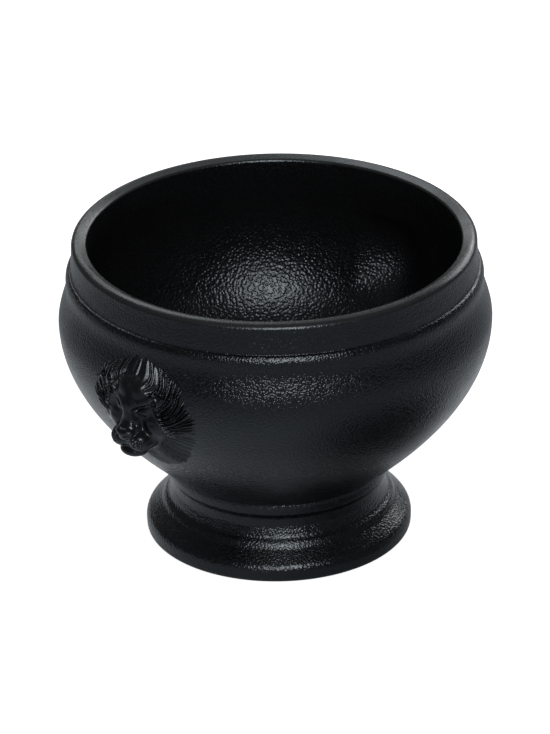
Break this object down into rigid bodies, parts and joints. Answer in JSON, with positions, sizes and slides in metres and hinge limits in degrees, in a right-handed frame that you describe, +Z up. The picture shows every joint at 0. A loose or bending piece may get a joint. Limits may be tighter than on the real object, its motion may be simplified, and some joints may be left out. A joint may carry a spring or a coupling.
{
  "type": "soup cup",
  "caption": "Footed soup cup in textured black porcelain: round-bellied bowl with rounded lip and ledge, stepped hollow foot, and a lion mask on either side as a grip.",
  "frame": {"origin": "middle of the cup's base, on the plane of the table", "axes": "+Z up along the turning axis; X runs through the two lion masks, the right one at +X"},
  "size_m": [0.1404, 0.125, 0.0925],
  "materials": {
    "textured_black_glaze": "satin black glaze with a fine pebbled grain like rough cast iron, coarser and glossier inside",
    "smooth_black_glaze": "satin to glossy black glaze, pooled smooth over the carved relief"
  },
  "bodies": {
    "root": {"bowl": "textured_black_glaze", "foot": "textured_black_glaze", "lion_head_left": "smooth_black_glaze", "lion_head_right": "smooth_black_glaze"}
  },
  "joints": []
}
